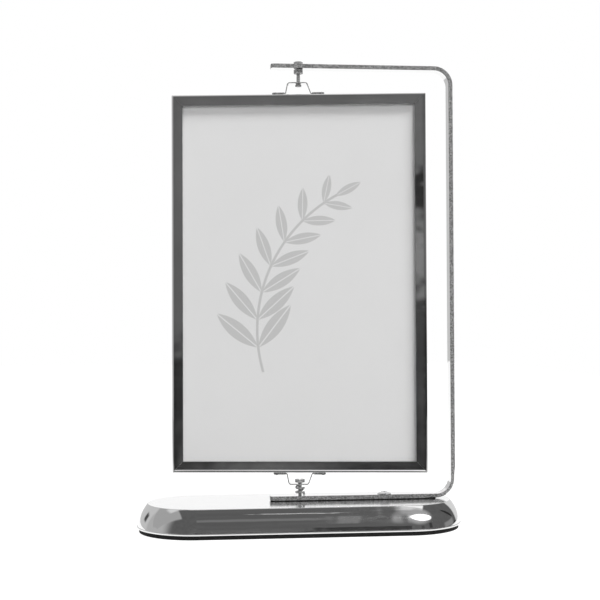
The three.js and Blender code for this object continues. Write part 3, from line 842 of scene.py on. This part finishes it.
def slotted_head(piece, diameter, face, turned_slot=False):
    """Cuts the screwdriver slot: from front to back, or along X where it is turned."""
    width, length = SLOT_WIDTH, diameter + 1
    size = (length, width, 2 * SLOT_DEPTH) if turned_slot else (width, length, 2 * SLOT_DEPTH)
    return carve(piece, [box(size, (0, 0, face))], sharp_degrees=50)


def upper_pivot_screw():
    crown = UPPER_HAT_FACE - HAT_SHEET - PIVOT_SEAT_GAP
    low = crown - UPPER_HEAD_HEIGHT
    tip = UPPER_ARM_TOP + NUT_HEIGHT + PIVOT_TIP
    shank = PIVOT_DIAMETER / 2
    head = UPPER_HEAD_DIAMETER / 2
    profile = [(AXIS_RADIUS, low)] + rounded_head(head, low, crown)
    thread_low = JAM_NUT_TOP - JAM_NUT_HEIGHT - THREAD_BEYOND
    profile += [(shank, crown), (shank, thread_low)]
    rings = [circle(radius, height, PIN_STEPS) for radius, height in profile]
    rings += threaded_rings(shank, thread_low + THREAD_RUN_IN, tip - TIP_CHAMFER - THREAD_RUN_OUT)
    rings += pin_tip(shank, tip, 1)
    pin = make_piece("upper_pin", skin(rings), [STEEL])
    return slotted_head(pin, UPPER_HEAD_DIAMETER, low, turned_slot=True)


def lower_pivot_screw():
    tip = SHELL_CEILING - NUT_HEIGHT - PIVOT_TIP
    shank = PIVOT_DIAMETER / 2
    head = LOWER_HEAD_DIAMETER / 2
    seat = LOWER_HAT_FACE + HAT_SHEET + LOWER_HEAD_LIFT
    crown = seat + LOWER_HEAD_HEIGHT
    thread_high = ARM_TOP + THREAD_BEYOND
    rings = list(reversed(pin_tip(shank, tip, -1)))
    rings += threaded_rings(shank, tip + TIP_CHAMFER + THREAD_RUN_OUT, thread_high)
    profile = [(shank, thread_high + THREAD_RUN_OUT), (shank, seat)]
    profile += rounded_head(head, seat, crown) + [(AXIS_RADIUS, crown)]
    rings += [circle(radius, height, PIN_STEPS) for radius, height in profile]
    return slotted_head(make_piece("lower_pin", skin(rings), [STEEL]), LOWER_HEAD_DIAMETER, crown)


def hex_nut(name, low, height):
    """A hexagon nut with its corners just broken and a countersunk hole."""
    flat = NUT_ACROSS_FLATS / 2
    hole = PIVOT_DIAMETER / 2 + THREAD_CLEARANCE
    slope = math.tan(math.radians(NUT_CHAMFER_ANGLE))

    def end(height, direction):
        """The rings of one end, from its hole outwards."""
        hexagon = []
        for step in range(NUT_STEPS):
            angle = 2 * math.pi * step / NUT_STEPS
            reach = flat / math.cos((angle % (math.pi / 3)) - math.pi / 6)
            drop = max(0.0, reach - flat * NUT_CHAMFER_FROM) * slope + NUT_EDGE_BREAK
            hexagon.append((reach * math.cos(angle), reach * math.sin(angle), height - direction * drop))
        rings = [
            circle(hole, height - direction * NUT_SINK_DEPTH, NUT_STEPS),
            circle(hole + NUT_SINK_WIDTH, height, NUT_STEPS),
            circle(flat * NUT_FACE_SHARE, height, NUT_STEPS),
        ]
        return rings + [hexagon]

    rings = end(low, -1) + list(reversed(end(low + height, 1)))
    return make_piece(name, skin(rings, looped=True), [STEEL], sharp_degrees=22)


def arm_screw():
    shank = ARM_SCREW_DIAMETER / 2
    tip = SHELL_CEILING - ARM_NUT_HEIGHT - ARM_SCREW_TIP
    head = ARM_SCREW_HEAD / 2
    rim, chamfer = ARM_SCREW_RIM, ARM_SCREW_CHAMFER
    profile = [(AXIS_RADIUS, tip), (shank, tip), (shank, ARM_TOP)]
    profile += [(head - chamfer, ARM_TOP), (head, ARM_TOP + chamfer)]
    profile += dome(ARM_SCREW_HEAD, ARM_TOP + rim, ARM_SCREW_HEAD_HEIGHT - rim, 14)
    screw = make_piece("cross_screw", turned(profile, 64, ARM_SCREW_PLACE), [CHROME])
    crown = (ARM_SCREW_PLACE, 0, ARM_TOP + ARM_SCREW_HEAD_HEIGHT)
    slots = [(CROSS_LENGTH, CROSS_WIDTH), (CROSS_WIDTH, CROSS_LENGTH)]
    cutters = [box((*slot, 2 * CROSS_DEPTH), crown) for slot in slots]
    return carve(screw, cutters, sharp_degrees=45)


def rivet(name, side, place):
    shank = RIVET_SHANK / 2
    tail = RIVET_HEAD / 2
    seat = HAT_FOOT_THICKNESS + SEAT_GAP * 2
    web = -RAIL_WALL - SEAT_GAP
    low = web - RIVET_TAIL_HEIGHT
    chamfer, rim = RIVET_TAIL_CHAMFER, RIVET_RIM
    profile = [(AXIS_RADIUS, low), (tail - chamfer, low), (tail, low + chamfer), (tail, web)]
    profile += [(shank, web), (shank, seat), (tail - rim, seat)]
    profile += dome(RIVET_HEAD, seat + rim, RIVET_HEAD_HEIGHT - rim)
    shape = turned(profile, 32, side * RIVET_PLACE)
    return make_piece(name, shape, [STEEL], turn=place)


def lock_washer():
    """A split washer with square section and broken edges, sprung open at its split."""
    inner = PIVOT_DIAMETER / 2 + WASHER_BORE_CLEARANCE
    outer = WASHER_DIAMETER / 2
    split = WASHER_SPLIT / outer
    r = WASHER_ROUNDING
    rings = []
    for step in range(NUT_STEPS + 1):
        share = step / NUT_STEPS
        angle = split / 2 + share * (2 * math.pi - split)
        low = JAM_NUT_TOP + WASHER_RISE * share**3
        high = low + WASHER_THICKNESS
        section = [(inner + r, low), (outer - r, low), (outer, low + r), (outer, high - r)]
        section += [(outer - r, high), (inner + r, high), (inner, high - r), (inner, low + r)]
        rings.append([(radius * math.cos(angle), radius * math.sin(angle), z) for radius, z in section])
    return make_piece("split_washer", skin(rings), [STEEL], sharp_degrees=50)


# Spring


def smooth_line(points):
    """Cuts the corners of an open line twice, its ends kept."""
    for _ in range(2):
        cut_line = [points[0]]
        for a, b in zip(points, points[1:]):
            cut_line += [a.lerp(b, 0.25), a.lerp(b, 0.75)]
        points = cut_line + [points[-1]]
    return points


def eased(value, start, end):
    """How far a value has come from start to end, from 0 to 1, slow at both ends."""
    share = min(1.0, max(0.0, (value - start) / (end - start)))
    return share * share * (3 - 2 * share)


def pivot_spring():
    """A left-handed coil on a short leg: a level turn, a rise at the back, a second level stretch and
    a drawn-in end that rises."""
    low = ARM_TOP + SPRING_SEAT_GAP + SPRING_LEG + SPRING_WIRE / 2
    high = LOWER_HAT_FACE - SPRING_SEAT_GAP - SPRING_WIRE / 2
    wide = (SPRING_OUTER - SPRING_WIRE) / 2
    narrow = (SPRING_TOP - SPRING_WIRE) / 2
    steps = round(SPRING_TURNS * SPRING_TURN_STEPS)
    line = [Vector((wide, 0, ARM_TOP + SPRING_SEAT_GAP))]
    for step in range(steps + 1):
        turns = SPRING_TURNS * step / steps
        angle = -2 * math.pi * turns
        risen = eased(turns, SPRING_RISE_START, SPRING_RISE_END)
        to_top = eased(turns, SPRING_TOP_START, SPRING_TURNS)
        radius = wide + (narrow - wide) * to_top
        z = low + (high - low) * (SPRING_RISE_SHARE * risen + (1 - SPRING_RISE_SHARE) * to_top)
        line.append(Vector((radius * math.cos(angle), radius * math.sin(angle), z)))
    line = smooth_line(line)
    rings = []
    for i, point in enumerate(line):
        ahead = (line[min(i + 1, len(line) - 1)] - line[max(i - 1, 0)]).normalized()
        outward = Vector((point.x, point.y, 0))
        outward = (outward - ahead * ahead.dot(outward)).normalized()
        sideways = ahead.cross(outward)
        ring = []
        for side in range(SPRING_WIRE_STEPS):
            angle = 2 * math.pi * side / SPRING_WIRE_STEPS
            away = outward * math.cos(angle) + sideways * math.sin(angle)
            ring.append(point + away * (SPRING_WIRE / 2))
        rings.append(ring)
    return make_piece("coil_spring", skin(rings), [STEEL], sharp_degrees=50)


# Rails


def rail_section():
    """The channel section as (inset, depth): inset from the outer edge, depth from the middle back."""
    half = RAIL_DEPTH / 2
    r = RAIL_LIP_ROUNDING
    inner = RAIL_EDGE_RADIUS - RAIL_WALL
    back = half - RAIL_EDGE_RADIUS

    def corner(radius, depth, start, steps=12):
        points = arc(radius, 0, depth, start, start + 90, steps)
        return [(RAIL_EDGE_RADIUS - reach, height) for reach, height in points]

    section = [(RAIL_FACE, -half + r), (RAIL_FACE - 0.3 * r, -half + 0.3 * r), (RAIL_FACE - r, -half)]
    section += corner(RAIL_EDGE_RADIUS, -back, -90) + corner(RAIL_EDGE_RADIUS, back, 0)
    section += [(RAIL_FACE - r, half), (RAIL_FACE - 0.3 * r, half - 0.3 * r), (RAIL_FACE, half - r)]
    section += [(RAIL_FACE, half - RAIL_WALL)]
    section += list(reversed(corner(inner, back, 0, 6))) + list(reversed(corner(inner, -back, -90, 6)))
    section += [(RAIL_FACE, -half + RAIL_WALL)]
    return section


def corner_outline(length):
    """The space inside the frame's outline with its two corners on this rail just rounded."""
    radius = FRAME_CORNER_ROUNDING
    outline = [(-length / 2, -2 * RAIL_FACE), (length / 2, -2 * RAIL_FACE)]
    outline += arc(radius, length / 2 - radius, -radius, 0, 90, 6)
    outline += arc(radius, radius - length / 2, -radius, 90, 180, 6)
    return skin([[(x, depth, z) for x, z in outline] for depth in (-RAIL_DEPTH, RAIL_DEPTH)])


def rail(name, length, turn):
    """A mitred rail built along X with its outer edge at height zero, turned to its place."""
    section = rail_section()
    half = length / 2
    rings = []
    for end in (-1, 1):
        rings.append([(end * (half - inset - MITRE_GAP), depth, -inset) for inset, depth in section])
    made = make_piece(name, skin(rings), [CHROME], sharp_degrees=40)
    carve(made, [corner_outline(length)], sharp_degrees=40, operation="INTERSECT")
    made.data.transform(turn)
    return weighted(made)


def rails():
    middle = Matrix.Translation((0, 0, FRAME_MIDDLE * MM))
    made = []
    for side, length, reach, degrees in (
        ("top", FRAME_WIDTH, FRAME_HEIGHT / 2, 0),
        ("right", FRAME_HEIGHT, FRAME_WIDTH / 2, 90),
        ("bottom", FRAME_WIDTH, FRAME_HEIGHT / 2, 180),
        ("left", FRAME_HEIGHT, FRAME_WIDTH / 2, 270),
    ):
        out = Matrix.Translation((0, 0, reach * MM))
        turn = FRAME_MATRIX @ middle @ Matrix.Rotation(math.radians(degrees), 4, "Y") @ out
        made.append((rail("chrome_rail_" + side, length, turn), side + "_rail"))
    return made


# Putting the pieces in place

settle(base_shell(), "stand", "chrome", "base_shell")
settle(base_sole(), "stand", "sole", "base_sole")
settle(bracket_arm(), "stand", "chrome", "bracket_arm")
settle(arm_screw(), "stand", "chrome", "arm_screw")
settle(lower_pivot_screw(), "stand", "steel", "lower_pivot_screw")
settle(pivot_spring(), "stand", "steel", "pivot_spring")
settle(upper_pivot_screw(), "stand", "steel", "upper_pivot_screw")
settle(hex_nut("upper_nut", UPPER_ARM_TOP, NUT_HEIGHT), "stand", "steel", "upper_pivot_nut")
jam_low = JAM_NUT_TOP - JAM_NUT_HEIGHT
settle(hex_nut("upper_jam_nut", jam_low, JAM_NUT_HEIGHT), "stand", "steel", "upper_pivot_jam_nut")
settle(lock_washer(), "stand", "steel", "upper_pivot_lock_washer")
for chrome_rail, node in rails():
    settle(chrome_rail, "picture_frame", "chrome", node)
for place, height, flipped in (("top", FRAME_TOP, False), ("bottom", FRAME_BOTTOM, True)):
    seat = height + (-SEAT_GAP if flipped else SEAT_GAP)
    bracket = hat_bracket(place + "_hat", frame_place(seat, flipped))
    settle(bracket, "picture_frame", "chrome", place + "_hat_bracket")
    for horizontal, side in (("left", -1), ("right", 1)):
        pin = rivet(f"{place}_{horizontal}_pin", side, frame_place(height, flipped))
        settle(pin, "picture_frame", "steel", f"{place}_{horizontal}_rivet")

CAD_LOOKS = [
    (IRON, ["ballast_plate"]),
    (SOLE, ["arm_pad"]),
    (STEEL, ["arm_screw_nut", "lower_pivot_nut"]),
    (STEEL, [f"{end}_{side}_corner_angle" for end in ("top", "bottom") for side in ("left", "right")]),
    (GLASS, ["front_glass", "rear_glass"]),
    (PAPER, ["front_picture", "rear_picture"]),
    (BOARD, ["divider_board"]),
]
for material, nodes in CAD_LOOKS:
    for node in nodes:
        for material_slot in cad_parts[node].material_slots:
            material_slot.material = material

# Camera


def make_camera():
    data = bpy.data.cameras.new("camera")
    data.sensor_width = 36
    data.lens = CAMERA_FOCAL_PIXELS * data.sensor_width / IMAGE_SIZE
    camera = bpy.data.objects.new("camera", data)
    bpy.context.scene.collection.objects.link(camera)
    yaw, pitch, roll = (math.radians(a) for a in (CAMERA_YAW, CAMERA_PITCH, CAMERA_ROLL))
    ahead = Vector((math.sin(yaw) * math.cos(pitch), math.cos(yaw) * math.cos(pitch), math.sin(pitch)))
    level = Vector((math.cos(yaw), -math.sin(yaw), 0))
    upward = level.cross(ahead)
    image_x = level * math.cos(roll) + upward * math.sin(roll)
    image_y = upward * math.cos(roll) - level * math.sin(roll)
    turn = Matrix((image_x, image_y, -ahead)).transposed().to_4x4()
    camera.matrix_world = Matrix.Translation(Vector(CAMERA_PLACE) * MM) @ turn
    bpy.context.scene.camera = camera


# Light and surroundings, in millimetres and degrees. A heading is 0 in front and grows to the right;
# a rise is the height over the horizon.

FLOOR_FRONT = -135
FLOOR_BACK = 2000
FLOOR_SIDE = 600
FLOOR_COLOUR = 0.2
FLOOR_LIFT = 0.99
FLOOR_NEAR = 150
FLOOR_FAR = 320
FLOOR_FAR_LEVEL = 0.12
FLOOR_BEHIND_SPREAD = 0.35
FLOOR_FRONT_FADE = 2.4
FLOOR_DROP = 0.02
FILL_LEVEL = 0.16
FILL_LOBE = 8
FILL_FOCUS = 30
ROOM_LEVEL = 0.12
ROOM_MOTTLE = 0.2
KEY_AZIMUTH = 32
KEY_ELEVATION = 51
KEY_DISTANCE = 2800
KEY_WIDTH = 1720
KEY_HEIGHT = 1040
KEY_POWER = 73

# What polished metal sees of the studio, each panel laid over the ones before it: its two ends and
# their blur one way, its two ends and their blur the other way, and the level. Walls and flags are
# measured by heading and rise, side bands by the slant to the right and the tilt over the front.
STUDIO_WALLS = [
    ((-60, 60, 30), (-16, -1, 2), 0.02),
    ((-13, 150, 2), (-16, 1.5, 1), 0.02),
    ((-14, -8, 5), (-16, -5, 3), 0.11),
    ((-6, 10, 3), (2.2, 4.6, 1.2), 0.19),
    ((-6, 10, 3), (5.4, 7.3, 0.8), 0.008),
    ((-127, -62, 26), (-16, 38, 8), 0.49),
]
SIDE_BANDS = [
    ((-80, -27, 3), (52, 122, 7), 0.42),
    ((3.5, 7.4, 1), (57.2, 58.9, 0.8), 0.75),
    ((-3, 6.8, 2), (37.5, 44, 3), 0.2),
    ((7.4, 8.3, 0.5), (27, 48, 4), 0.26),
    ((6, 11.5, 1.5), (2, 16.5, 2), 0.04),
    ((-12, 10, 6), (76.5, 100, 5), 0.62),
    ((-40, -12, 6), (82, 100, 5), 0.75),
    ((10.5, 30, 2), (61.5, 69, 1.5), 1.15),
    ((10.5, 30, 2), (70, 84, 2), 1.1),
]
BACK_WALL_HEADING = 176
BACK_WALLS = [
    ((-70, -9, 8), (-13.5, 60, 6), 0.62),
    ((12, 51, 5), (-13.5, 60, 6), 0.76),
    ((-11, 14, 6), (12, 64, 6), 0.85),
    ((-11, 14, 6), (-13.5, 14, 2), 1.05),
]
# Soft boxes with round outlines: the middle and half size as heading and rise, the slope, the blur,
# the least slant and the level
SOFT_BOXES = [
    ((32, 42), (29, 22), 0, 0.55, 10.2, 0.42),
    ((36, 36), (23, 9), -0.2, 0.08, 11.2, 1.7),
    ((104, 21), (10, 3.5), -1.1, 0.3, 11, 0.03),
]
SOFT_BOX_CUT_BLUR = 1.2
FLAGS = [
    ((84, 112, 8), (0, 9, 4), 0.28),
    ((47.5, 53.5, 2), (6, 18, 3), 0.05),
    ((30, 36, 2), (7, 14, 2), 0.07),
    ((-134, -123, 5), (8, 19, 5), 0.08),
]
BELOW_RISE = -15.5
BELOW_BLUR = 1.5
BELOW_LEVEL = 0.1


def window(tree, value, low, high, blur):
    """One between low and high, with blurred ends."""
    rising = tree.ranged(value, low - blur / 2, low + blur / 2)
    falling = tree.ranged(value, high - blur / 2, high + blur / 2, 1.0, 0.0)
    return tree.math("MULTIPLY", rising, falling)


def wall(tree, room, heading, rise, place):
    """Lays a soft-edged panel of one level over the room."""
    across, upward, level = place
    mask = tree.math("MULTIPLY", window(tree, heading, *across), window(tree, rise, *upward))
    return tree.blend(mask, room, grey(level))


def soft_box(tree, room, heading, rise, slant, place):
    """Lays a soft-edged round panel over the room, cut off below its least slant."""
    middle, half, slope, blur, least, level = place
    beside = tree.math("SUBTRACT", heading, middle[0])
    above = tree.math("SUBTRACT", rise, middle[1])
    above = tree.math("SUBTRACT", above, tree.math("MULTIPLY", beside, slope))
    across = tree.math("DIVIDE", beside, half[0])
    upward = tree.math("DIVIDE", above, half[1])
    away = tree.math("ADD", tree.math("POWER", across, 2.0), tree.math("POWER", upward, 2.0))
    inside = tree.ranged(away, 1 - blur, 1 + blur, 1.0, 0.0)
    half_blur = SOFT_BOX_CUT_BLUR / 2
    kept = tree.ranged(slant, least - half_blur, least + half_blur)
    return tree.blend(tree.math("MULTIPLY", inside, kept), room, grey(level))


def metal_room(tree, x, y, z):
    """The studio as polished metal sees it."""
    minus_y = tree.math("MULTIPLY", y, -1.0)
    heading = tree.math("DEGREES", tree.math("ARCTAN2", x, minus_y))
    behind = tree.math("DEGREES", tree.math("ARCTAN2", x, y))
    behind = tree.math("SUBTRACT", behind, 180 - BACK_WALL_HEADING)
    rise = tree.math("DEGREES", tree.math("ARCSINE", z))
    slant = tree.math("DEGREES", tree.math("ARCSINE", x))
    tilt = tree.math("DEGREES", tree.math("ARCTAN2", z, minus_y))
    dark, light = (1 - ROOM_MOTTLE) * ROOM_LEVEL, (1 + ROOM_MOTTLE) * ROOM_LEVEL
    room = tree.greys(tree.noise(9), dark, light)
    for place in STUDIO_WALLS:
        room = wall(tree, room, heading, rise, place)
    for place in BACK_WALLS:
        room = wall(tree, room, behind, rise, place)
    for place in SIDE_BANDS:
        room = wall(tree, room, slant, tilt, place)
    for place in SOFT_BOXES:
        room = soft_box(tree, room, heading, rise, slant, place)
    for place in FLAGS:
        room = wall(tree, room, heading, rise, place)
    low = tree.ranged(rise, BELOW_RISE - BELOW_BLUR, BELOW_RISE + BELOW_BLUR, 1.0, 0.0)
    return tree.blend(low, room, grey(BELOW_LEVEL))


def make_world():
    """White for the camera and through glass, a soft fill for matt surfaces, and for metal a studio
    with a white wall behind, a dim room in front and soft boxes at the sides."""
    world = bpy.data.worlds.new("studio")
    bpy.context.scene.world = world
    tree = Tree(world, "Generated")
    x, y, z = tree.split(tree.place)
    shown = tree.node("Background", metal_room(tree, x, y, z)).outputs[0]
    white = tree.node("Background", (1, 1, 1, 1)).outputs[0]
    lobe = tree.math("POWER", tree.math("ABSOLUTE", y), FILL_FOCUS)
    strength = tree.math("ADD", tree.math("MULTIPLY", lobe, FILL_LOBE), FILL_LEVEL)
    fill = tree.node("Background", (1, 1, 1, 1), strength).outputs[0]
    rays = tree.node("LightPath").outputs
    mirrored = tree.node("MixShader", rays["Is Glossy Ray"], fill, shown).outputs[0]
    straight = tree.math("MAXIMUM", rays["Is Camera Ray"], rays["Is Transmission Ray"])
    seen = tree.node("MixShader", straight, mirrored, white).outputs[0]
    tree.node("OutputWorld", seen)


def make_floor():
    """A pale table that reads white and keeps the object's soft shadow. Metal sees it fade in front and
    at the sides, more slowly towards the back."""
    look = Look("pale_floor", specular=0.0)
    x, y, _ = look.split(look.place)
    spared = look.math("MULTIPLY", look.math("MAXIMUM", y, 0.0), FLOOR_BEHIND_SPREAD)
    beside = look.math("MAXIMUM", look.math("SUBTRACT", look.math("ABSOLUTE", x), spared), 0.0)
    in_front = look.math("MULTIPLY", look.math("MINIMUM", y, 0.0), FLOOR_FRONT_FADE)
    squares = [look.math("POWER", side, 2.0) for side in (beside, in_front)]
    away = look.math("SQRT", look.math("ADD", *squares))
    faded = look.ranged(away, FLOOR_NEAR * MM, FLOOR_FAR * MM, 1.0, FLOOR_FAR_LEVEL)
    rays = look.node("LightPath").outputs
    mirrored = look.math("MULTIPLY", rays["Is Glossy Ray"], faded)
    seen = look.math("MAXIMUM", rays["Is Camera Ray"], mirrored)
    seen = look.math("MAXIMUM", seen, rays["Is Transmission Ray"])
    look.set("Emission Color", (1, 1, 1, 1))
    look.set("Emission Strength", look.math("MULTIPLY", seen, FLOOR_LIFT))
    material = look.dress(look.greys(look.noise(20, detail=2), FLOOR_COLOUR, FLOOR_COLOUR + 0.01), 1.0)
    corners = [(-FLOOR_SIDE, FLOOR_FRONT), (FLOOR_SIDE, FLOOR_FRONT)]
    corners += [(FLOOR_SIDE, FLOOR_BACK), (-FLOOR_SIDE, FLOOR_BACK)]
    mesh = bpy.data.meshes.new("floor")
    mesh.from_pydata([Vector((a, b, -FLOOR_DROP)) * MM for a, b in corners], [], [(0, 1, 2, 3)])
    mesh.materials.append(material)
    floor = bpy.data.objects.new("floor", mesh)
    bpy.context.scene.collection.objects.link(floor)


def make_key_light():
    """The large soft lamp in front, to the right and above."""
    data = bpy.data.lights.new("key", "AREA")
    data.shape = "RECTANGLE"
    data.size = KEY_WIDTH * MM
    data.size_y = KEY_HEIGHT * MM
    data.energy = KEY_POWER
    lamp = bpy.data.objects.new("key", data)
    bpy.context.scene.collection.objects.link(lamp)
    turn, rise = math.radians(KEY_AZIMUTH), math.radians(KEY_ELEVATION)
    away = Vector((math.sin(turn) * math.cos(rise), -math.cos(turn) * math.cos(rise), math.sin(rise)))
    middle = Vector((0, 0, FRAME_MIDDLE * MM))
    lamp.location = middle + away * KEY_DISTANCE * MM
    lamp.rotation_euler = away.to_track_quat("Z", "Y").to_euler()
    lamp.visible_camera = False
    lamp.visible_glossy = False


make_camera()
make_world()
make_floor()
make_key_light()
bpy.context.scene.view_settings.view_transform = "Standard"
